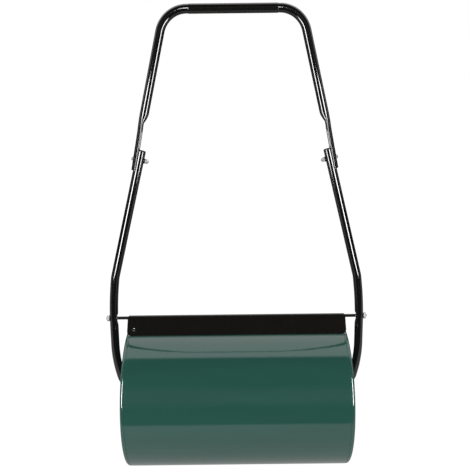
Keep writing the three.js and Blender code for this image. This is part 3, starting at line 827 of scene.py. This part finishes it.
def plate_mesh():
    """The sheet, with rounded lower corners, hem corners set back a little and a hanging hole."""
    inner = np.linspace(0, PLATE_HALF - PLATE_CORNER, 60)
    outer = PLATE_HALF - PLATE_CORNER * (1 - np.sin(np.linspace(0, math.pi / 2, 14)))[1:]
    half = np.concatenate([inner, outer])
    xs = np.concatenate([-half[::-1], half[1:]])
    rings = []
    for x in xs:
        into = max(abs(x) - (PLATE_HALF - PLATE_CORNER), 0)
        drop = PLATE_DROP - PLATE_CORNER + math.sqrt(max(PLATE_CORNER ** 2 - into ** 2, 0))
        section = plate_section(drop)
        hem = smoothstep(section[:, 1], -3, 3) * 2.2 * smoothstep(into, 0, PLATE_CORNER)
        rings.append(np.column_stack([x - np.sign(x) * hem, section]))
    mesh = tidy_mesh("plate", *skin(rings), 50)
    hole = turned("hole", [(-4, 0), (-4, 7.8), (0.1, HOLE_RADIUS), (4, HOLE_RADIUS), (4, 0)], 48)
    hole.transform(HOLE_PLACE)
    return drill(mesh, hole)


def hole_highlight_sliver_mesh():
    """A sliver of bright steel at the top of the hanging hole: a painted highlight, standing in for the
    drum's bright reflection seen through the hole.
    """
    rings = []
    for turn in np.linspace(-1, 1, 25):
        angle = math.pi / 2 + 0.85 * turn
        thick = 0.15 + 0.45 * math.cos(turn * math.pi / 2)
        outline = thick * circle(1, 10)
        r = HOLE_RADIUS - 0.15 + outline[:, 1]
        rings.append(np.column_stack([outline[:, 0] - 0.1, r * math.cos(angle), r * math.sin(angle)]))
    mesh = tidy_mesh("edge", *skin(rings), 70)
    mesh.transform(HOLE_PLACE)
    return mesh


# ---- materials ----

FLOAT_MIX = (0, 2, 3)  # places of the factor and both values among a Mix node's sockets
COLOR_MIX = (0, 6, 7)


class Tree:
    """Adds nodes to the tree that a subclass holds."""

    def add(self, kind, **values):
        node = self.tree.nodes.new(kind)
        for key, value in values.items():
            setattr(node, key, value)
        return node


class Nodes(Tree):
    """A small helper for building a material's node tree."""

    def __init__(self, name):
        self.material = bpy.data.materials.new(name)
        self.material.use_nodes = True
        self.tree = self.material.node_tree
        self.shader = self.tree.nodes["Principled BSDF"]
        self.place = self.add("ShaderNodeTexCoord").outputs["Object"]

    def link(self, source, target):
        self.tree.links.new(source, target)

    def feed(self, name, source):
        self.link(source, self.shader.inputs[name])

    def noise(self, scale, detail=3, roughness=0.5, stretch=(1, 1, 1)):
        mapping = self.add("ShaderNodeMapping")
        mapping.inputs["Scale"].default_value = stretch
        self.link(self.place, mapping.inputs["Vector"])
        noise = self.add("ShaderNodeTexNoise")
        noise.inputs["Scale"].default_value = scale
        noise.inputs["Detail"].default_value = detail
        noise.inputs["Roughness"].default_value = roughness
        self.link(mapping.outputs["Vector"], noise.inputs["Vector"])
        return noise.outputs["Fac"]

    def ramp(self, factor, stops):
        ramp = self.add("ShaderNodeValToRGB")
        elements = ramp.color_ramp.elements
        while len(elements) < len(stops):
            elements.new(0.5)
        for element, (position, color) in zip(elements, stops):
            element.position = position
            element.color = color if hasattr(color, "__len__") else (color, color, color, 1)
        self.link(factor, ramp.inputs["Fac"])
        return ramp.outputs["Color"]

    def mix(self, factor, first, second, blend="MIX"):
        node = self.add("ShaderNodeMix", data_type="RGBA", blend_type=blend)
        for value, index in zip((factor, first, second), COLOR_MIX):
            if isinstance(value, bpy.types.NodeSocket):
                self.link(value, node.inputs[index])
            else:
                node.inputs[index].default_value = value
        return node.outputs[2]

    def worn_edges(self, amount):
        """How much convex edges are rubbed, broken up by noise."""
        pointed = self.add("ShaderNodeNewGeometry").outputs["Pointiness"]
        edges = self.ramp(pointed, [(0.51, 0.0), (0.57, 1.0)])
        broken = self.ramp(self.noise(170, 4, 0.7), [(0.42, 0.0), (0.62, amount)])
        return self.mix(1.0, edges, broken, "MULTIPLY")

    def bump(self, height, strength, distance, before=None):
        bump = self.add("ShaderNodeBump")
        bump.inputs["Strength"].default_value = strength
        bump.inputs["Distance"].default_value = distance
        self.link(height, bump.inputs["Height"])
        if before is not None:
            self.link(before, bump.inputs["Normal"])
        return bump.outputs["Normal"]


def srgb(red, green, blue):
    """A linear colour from 0 to 255 screen values."""
    def one(value):
        value /= 255
        return value / 12.92 if value <= 0.04045 else ((value + 0.055) / 1.055) ** 2.4
    return (one(red), one(green), one(blue), 1)


def scaled(color, factor):
    """A colour made lighter or darker."""
    return tuple(min(1.0, factor * c) for c in color[:3]) + (1,)


def paint(name, base, shade, roughness, peel, stretch=(1, 1, 1)):
    """Gloss powder coat: slight colour drift, orange peel, duller patches and lightly rubbed edges."""
    nodes = Nodes(name)
    wear = nodes.worn_edges(0.5)
    drift = nodes.ramp(nodes.noise(14, 4, 0.6, stretch), [(0.3, base), (0.7, shade)])
    nodes.feed("Base Color", nodes.mix(wear, drift, scaled(base, 1.7)))
    patches = nodes.ramp(nodes.noise(22, 5, 0.6, stretch), [(0.35, roughness), (0.75, roughness * 1.6)])
    nodes.feed("Roughness", nodes.mix(wear, patches, (0.3, 0.3, 0.3, 1)))
    orange = nodes.bump(nodes.noise(420, 2, 0.4), peel, 0.0004)
    waves = nodes.bump(nodes.noise(45, 2, 0.4), peel * 0.5, 0.0010, orange)
    nodes.feed("Normal", waves)
    return nodes.material


def metal(name, base, roughness, streak):
    """Plated or drawn metal: cloudy colour, fine streaks and edges polished by handling."""
    nodes = Nodes(name)
    wear = nodes.worn_edges(0.8)
    drift = nodes.ramp(nodes.noise(90, 4, 0.6), [(0.3, base), (0.75, scaled(base, 0.82))])
    nodes.feed("Base Color", nodes.mix(wear, drift, scaled(base, 1.3)))
    streaks = nodes.ramp(nodes.noise(300, 4, 0.6, streak), [(0.3, roughness * 0.8), (0.7, roughness * 1.4)])
    nodes.feed("Roughness", nodes.mix(wear, streaks, (0.15, 0.15, 0.15, 1)))
    nodes.feed("Normal", nodes.bump(nodes.noise(900, 3, 0.6, streak), 0.08, 0.0002))
    nodes.shader.inputs["Metallic"].default_value = 0.9
    return nodes.material


def plastic(name, base, roughness, grain, scale):
    """Moulded plastic or rubber: faint mottling, a fine grain and edges burnished by handling."""
    nodes = Nodes(name)
    wear = nodes.worn_edges(0.6)
    drift = nodes.ramp(nodes.noise(40, 3), [(0.3, base), (0.7, scaled(base, 1.25))])
    nodes.feed("Base Color", nodes.mix(wear, drift, scaled(base, 1.6)))
    patches = nodes.ramp(nodes.noise(60, 4), [(0.3, roughness), (0.7, min(1.0, roughness * 1.2))])
    polished = roughness * 0.7
    nodes.feed("Roughness", nodes.mix(wear, patches, (polished, polished, polished, 1)))
    nodes.feed("Normal", nodes.bump(nodes.noise(scale, 3, 0.6), grain, 0.0003))
    return nodes.material


ALONG_X = (0.14, 1, 1)  # draws patches out along the drum
GREEN = paint("green_powder_coat", srgb(40, 82, 73), srgb(34, 76, 66), 0.07, 0.008, ALONG_X)
BLACK = paint("black_powder_coat", srgb(17, 17, 17), srgb(13, 13, 13), 0.07, 0.003)
SATIN = paint("black_scraper_coat", srgb(24, 22, 20), srgb(20, 19, 18), 0.14, 0.008)
GRIP = plastic("shrunk_sleeve", srgb(14, 12, 11), 0.15, 0.03, 900)
ZINC = metal("bright_zinc", srgb(222, 223, 225), 0.42, (1, 1, 1))
STEEL = metal("drawn_steel", srgb(150, 150, 150), 0.35, (0.1, 1, 1))
NYLON = plastic("bush_nylon", srgb(232, 228, 216), 0.45, 0.1, 700)
PLUG = plastic("plug_moulding", srgb(30, 31, 32), 0.42, 0.3, 1200)
RUBBER = plastic("seal_rubber", srgb(22, 22, 22), 0.7, 0.3, 1500)


# ---- pieces ----


def pair(name, mesh, node, material, place):
    """The same piece at both ends of the roller: the left one is turned half a turn about Z."""
    turned_round = mesh.copy()
    piece("right_" + name, mesh, "right_" + node, material, place)
    piece("left_" + name, turned_round, "left_" + node, material, HALF_TURN @ place)


piece("drum_shell_sheet", shell_mesh(), "drum_shell", GREEN, AXLE_LINE)
drum_end = end_mesh()
filler_low, filler_high = box_mm("filler_boss")
FILLER = at_mm(0, (filler_low[1] + filler_high[1]) / 2, (filler_low[2] + filler_high[2]) / 2)
piece("left_drum_end_pressing", drum_end.copy(), "left_drum_end", GREEN, AXLE_LINE @ HALF_TURN)
drum_end.transform(AXLE_LINE)
right_end = drill(drum_end, drill_bit(BOSS_RADIUS + GAP, at_mm(PANEL_X, 0, 0) @ FILLER, 20, 96))
piece("right_drum_end_pressing", right_end, "right_drum_end", GREEN)
for side, name in ((-1, "left"), (1, "right")):
    seam_weld = weld_bead(DRUM_RADIUS - SHEET, side * (SEAM_X + GAP / 2), width=1.2, height=1.2)
    extra(name + "_seam_weld", seam_weld, "drum_shell", GREEN, AXLE_LINE)
    hub_weld = weld_bead(CORE_RADIUS + 0.2, side * HUB_X, width=2.4, height=1.6, steps=160)
    extra(name + "_hub_weld", hub_weld, name + "_drum_end", GREEN, AXLE_LINE)

core = turned("core", ring_outline(-HUB_X, HUB_X, CORE_RADIUS - 2, CORE_RADIUS, 0.5), 96)
piece("drum_core_tube_pipe", core, "drum_core_tube", STEEL, AXLE_LINE)
boss = turned("boss", ring_outline(filler_low[0], filler_high[0], BOSS_BORE, BOSS_RADIUS, 0.8), 96)
piece("filler_boss_ring", boss, "filler_boss", GREEN, FILLER)
boss_weld = weld_bead(BOSS_RADIUS + 0.4, PANEL_X + 0.6, width=2.6, height=1.8, steps=150)
extra("filler_boss_weld", boss_weld, "filler_boss", GREEN, FILLER)
seal_low, seal_high = box_mm("plug_seal")
seal = turned("seal", ring_outline(seal_low[0], seal_high[0], PLUG_RADIUS + GAP, SEAL_RADIUS, 0.85), 96)
piece("plug_seal_ring", seal, "plug_seal", RUBBER, FILLER)
piece("filler_plug_moulding", plug_mesh(), "filler_plug", PLUG, FILLER)

piece("axle_shaft_bar", axle_mesh(), "axle_shaft", ZINC, AXLE_LINE)
pair("axle_bush_moulding", bush_mesh(), "axle_bush", NYLON, AXLE_LINE)
start = HUB_X + FLANGE + 2 * GAP
end = EYE_X - EYE_HALF[0] - 2 * GAP
spacer = turned("spacer", ring_outline(start, end, AXLE_RADIUS + GAP, SPACER_RADIUS, 0.5), 64)
pair("axle_spacer_ring", spacer, "axle_spacer", ZINC, AXLE_LINE)
start = EYE_X + EYE_HALF[0] + GAP
outline = ring_outline(start, start + AXLE_WASHER, M12[0] + GAP, AXLE_WASHER_RADIUS, 0.5)
pair("axle_washer_disc", turned("washer", outline, 64), "axle_washer", ZINC, AXLE_LINE)
nut_low, nut_high = box_mm("right_axle_nut")
axle_nut = hex_nut(nut_low[0], nut_high[0], M12_ACROSS, M12[0] + GAP)
pair("axle_nut_hexagon", axle_nut, "axle_nut", ZINC, AXLE_LINE)

arm = arm_mesh()
piece("left_side_arm_tube", mirrored(arm), "left_side_arm", BLACK)
piece("right_side_arm_tube", arm, "right_side_arm", BLACK)
piece("upper_handle_tube", handle_mesh(), "upper_handle", BLACK)
piece("handle_grip_sleeve", grip_mesh(), "handle_grip", GRIP, at_mm(0, 0, HANDLE_Z))
pair("handle_bolt_mushroom", bolt_mesh(), "handle_bolt", ZINC, joint_place(1))
pair("handle_washer_disc", washer_mesh(), "handle_washer", BLACK, joint_place(1))
pair("handle_nut_dome", dome_nut_mesh(), "handle_nut", ZINC, joint_place(1))

ROD_LINE = at_mm(0, 0, ROD_Z)
piece("scraper_rod_bar", rod_mesh(), "scraper_rod", BLACK, ROD_LINE)
nut_low, nut_high = box_mm("right_rod_nut")
rod_nut = hex_nut(nut_low[0], nut_high[0], M8_ACROSS, M8[0] + GAP)
pair("rod_nut_hexagon", rod_nut, "rod_nut", ZINC, ROD_LINE)
lean = Matrix.Rotation(-plate_lean(), 4, "X")
piece("scraper_plate_sheet", plate_mesh(), "scraper_plate", SATIN, ROD_LINE @ lean)
# painted highlight: a bright steel sliver at the hanging hole stands in for the drum's reflection seen
# through it
extra("hanging_hole_bare_edge", hole_highlight_sliver_mesh(), "scraper_plate", STEEL, ROD_LINE @ lean)


# ---- stage, light and camera, in metres and degrees ----

FLOOR_HALF = 8
FLOOR_WHITE = 1.15  # the floor's own light to the camera
SHADOW_SHARE = 0.15  # how much of the real shadow the camera sees
FLOOR_GREY = (0.7, 0.7, 0.7, 1)
FLOOR_GLOW = 0.9  # in reflections

# Changes of light: from here, to there, value before and value after.
SWEEP_FRONT = (-0.575, -0.5, 0.03, 1.0)  # of the floor's glow, over y
SWEEP_BACK = (0.1, 0.9, 1.0, 0.02)
DRUM_SHADE = (0.0, 0.22, 0.45, 1.0)  # the same, over the distance from under the axle
SOFT = (-0.6, 1.0, 0.12, 0.4)  # of the light on matt surfaces, over its rise
BACK_Y = (-0.4, 0.6)  # of the light from behind, over the direction
BACK_Z = (0.2, 0.9, 0.75, 0.0)

# Bands of light in reflections: glow, and the angles of climb over which it comes and goes.
CEILING = (2.0, (83.0, 88.5), (140.0, 162.0))
BAND = (0.16, (2.0, 14.0), (26.0, 40.0))
ROOM = 0.015

# Lights: size, place, target and power. The strip is the right one of a pair.
STRIP = ((0.26, 0.7), (0.63, -0.75, 0.6), (0.13, 0, 0.6), 22.0)
BAR = ((0.43, 0.16), (-0.02, -1.4, 1.27), (-0.02, 0, 1.02), 13.0)
FILL = ((1.8, 0.9), (0, -1.9, 1.0), (0, 0, 0.2), 29.0)
SOFTBOX = ((1.4, 1.6), (0, -1.6, 1.1), (0, 0, 0.3), 16.0)

CAMERA_PLACE = (-0.0013, -1.408, 0.8935)
CAMERA_DOWN = 14
CAMERA_ROLL = 0.65
LENS = 50.2
SENSOR = 36


class Graph(Tree):
    """Math on sockets, for the world's and the floor's shaders."""

    def __init__(self, tree):
        self.tree = tree
        tree.nodes.clear()
        self.rays = self.add("ShaderNodeLightPath")

    def put(self, value, socket):
        if isinstance(value, bpy.types.NodeSocket):
            self.tree.links.new(value, socket)
        else:
            socket.default_value = value

    def math(self, operation, *values):
        node = self.add("ShaderNodeMath", operation=operation)
        for value, socket in zip(values, node.inputs):
            self.put(value, socket)
        return node.outputs[0]

    def step(self, value, low, high, start=0.0, end=1.0):
        """A smooth change from one value to another between two places."""
        node = self.add("ShaderNodeMapRange", interpolation_type="SMOOTHSTEP")
        for given, socket in zip((value, low, high, start, end), node.inputs):
            self.put(given, socket)
        return node.outputs[0]

    def hill(self, value, height, rise, fall):
        """Up to a height over one range of values and back to nothing over another."""
        return self.math("MULTIPLY", self.step(value, *rise), self.step(value, *fall, height, 0.0))

    def choose(self, factor, first, second):
        """The first value where the factor is 0, the second where it is 1."""
        node = self.add("ShaderNodeMix", data_type="FLOAT")
        for value, index in zip((factor, first, second), FLOAT_MIX):
            self.put(value, node.inputs[index])
        return node.outputs[0]

    def emission(self, strength):
        node = self.add("ShaderNodeEmission")
        self.put(strength, node.inputs["Strength"])
        return node.outputs[0]


def studio_world():
    """White to the camera, even light on matt surfaces, and a dark room with a bright ceiling in gloss."""
    world = bpy.data.worlds.new("studio")
    bpy.context.scene.world = world
    world.use_nodes = True
    graph = Graph(world.node_tree)
    direction = graph.add("ShaderNodeTexCoord").outputs["Generated"]
    split = graph.add("ShaderNodeSeparateXYZ")
    graph.put(direction, split.inputs[0])
    _, y, z = split.outputs
    toward = graph.math("MULTIPLY", y, -1.0)
    climb = graph.math("DEGREES", graph.math("ARCTAN2", z, toward))
    bands = graph.math("ADD", graph.hill(climb, *CEILING), graph.hill(climb, *BAND))
    glossy = graph.math("ADD", bands, ROOM)
    behind = graph.math("MULTIPLY", graph.step(y, *BACK_Y), graph.step(z, *BACK_Z))
    matt = graph.math("ADD", graph.step(z, *SOFT), behind)
    light = graph.choose(graph.rays.outputs["Is Glossy Ray"], matt, glossy)
    shown = graph.choose(graph.rays.outputs["Is Camera Ray"], light, 1.0)
    background = graph.add("ShaderNodeBackground")
    background.inputs["Color"].default_value = (1, 1, 1, 1)
    graph.put(shown, background.inputs["Strength"])
    output = graph.add("ShaderNodeOutputWorld")
    graph.put(background.outputs[0], output.inputs["Surface"])


def floor_material():
    """White with a faint contact shadow. Reflections see a bright sweep that ends in front of the drum."""
    material = bpy.data.materials.new("floor")
    material.use_nodes = True
    graph = Graph(material.node_tree)
    place = graph.add("ShaderNodeNewGeometry").outputs["Position"]
    split = graph.add("ShaderNodeSeparateXYZ")
    graph.put(place, split.inputs[0])
    y = split.outputs["Y"]
    sweep = graph.math("MULTIPLY", graph.step(y, *SWEEP_FRONT), graph.step(y, *SWEEP_BACK))
    shade = graph.step(graph.math("ABSOLUTE", y), *DRUM_SHADE)
    mirrored_floor = graph.math("MULTIPLY", graph.math("MULTIPLY", sweep, shade), FLOOR_GLOW)
    diffuse = graph.add("ShaderNodeBsdfDiffuse")
    diffuse.inputs["Color"].default_value = FLOOR_GREY
    seen = graph.add("ShaderNodeMixShader")
    graph.put(SHADOW_SHARE, seen.inputs[0])
    graph.put(graph.emission(FLOOR_WHITE), seen.inputs[1])
    graph.put(diffuse.outputs[0], seen.inputs[2])
    in_gloss = graph.add("ShaderNodeMixShader")
    graph.put(graph.rays.outputs["Is Glossy Ray"], in_gloss.inputs[0])
    graph.put(diffuse.outputs[0], in_gloss.inputs[1])
    graph.put(graph.emission(mirrored_floor), in_gloss.inputs[2])
    whole = graph.add("ShaderNodeMixShader")
    graph.put(graph.rays.outputs["Is Camera Ray"], whole.inputs[0])
    graph.put(in_gloss.outputs[0], whole.inputs[1])
    graph.put(seen.outputs[0], whole.inputs[2])
    output = graph.add("ShaderNodeOutputMaterial")
    graph.put(whole.outputs[0], output.inputs["Surface"])
    return material


def studio_floor():
    mesh = bpy.data.meshes.new("floor")
    corners = [(FLOOR_HALF * x, FLOOR_HALF * y, 0) for x, y in ((-1, -1), (1, -1), (1, 1), (-1, 1))]
    mesh.from_pydata(corners, [], [(0, 1, 2, 3)])
    mesh.materials.append(floor_material())
    in_scene("floor", mesh)


def area_light(name, size, place, target, power):
    """A rectangular light that points from a place at a target, hidden from the camera."""
    data = bpy.data.lights.new(name, "AREA")
    data.shape = "RECTANGLE"
    data.size, data.size_y = size
    data.energy = power
    light = in_scene(name, data)
    light.location = place
    light.rotation_euler = (Vector(target) - Vector(place)).to_track_quat("-Z", "Y").to_euler()
    light.visible_camera = False
    return light


def shine_only_on(light, pieces):
    """Keep a light's hard reflection to some of the pieces."""
    receivers = bpy.data.collections.new(light.name + "_receivers")
    for shown in pieces:
        receivers.objects.link(shown)
    light.light_linking.receiver_collection = receivers
    light.visible_diffuse = False


def studio_lights():
    """Strips for the lines along the tubes, a bar for the handle, a fill and a softbox for the zinc."""
    shown = [item for item in bpy.context.scene.objects if item.type == "MESH" and item.name != "floor"]
    broad = ("drum_shell", "scraper_plate", "nut_", "bolt_")
    slim = [item for item in shown if not any(word in item.name for word in broad)]
    size, place, target, power = STRIP
    for side in (-1, 1):
        mirror = Vector((side, 1, 1))
        strip = area_light("strip", size, Vector(place) * mirror, Vector(target) * mirror, power)
        shine_only_on(strip, slim)
    shine_only_on(area_light("bar", *BAR), [bpy.data.objects["upper_handle_tube"]])
    area_light("fill", *FILL).visible_glossy = False
    zinc = [item for item in shown if item.data.materials[0] == ZINC]
    shine_only_on(area_light("softbox", *SOFTBOX), zinc)


def studio_camera():
    data = bpy.data.cameras.new("camera")
    data.lens = LENS
    data.sensor_width = SENSOR
    camera = in_scene("camera", data)
    camera.location = CAMERA_PLACE
    pitch = Matrix.Rotation(math.radians(90 - CAMERA_DOWN), 4, "X")
    roll = Matrix.Rotation(math.radians(-CAMERA_ROLL), 4, "Z")
    camera.rotation_euler = (pitch @ roll).to_euler()
    bpy.context.scene.camera = camera


studio_floor()
studio_world()
studio_lights()
studio_camera()
bpy.context.scene.view_settings.view_transform = "Standard"
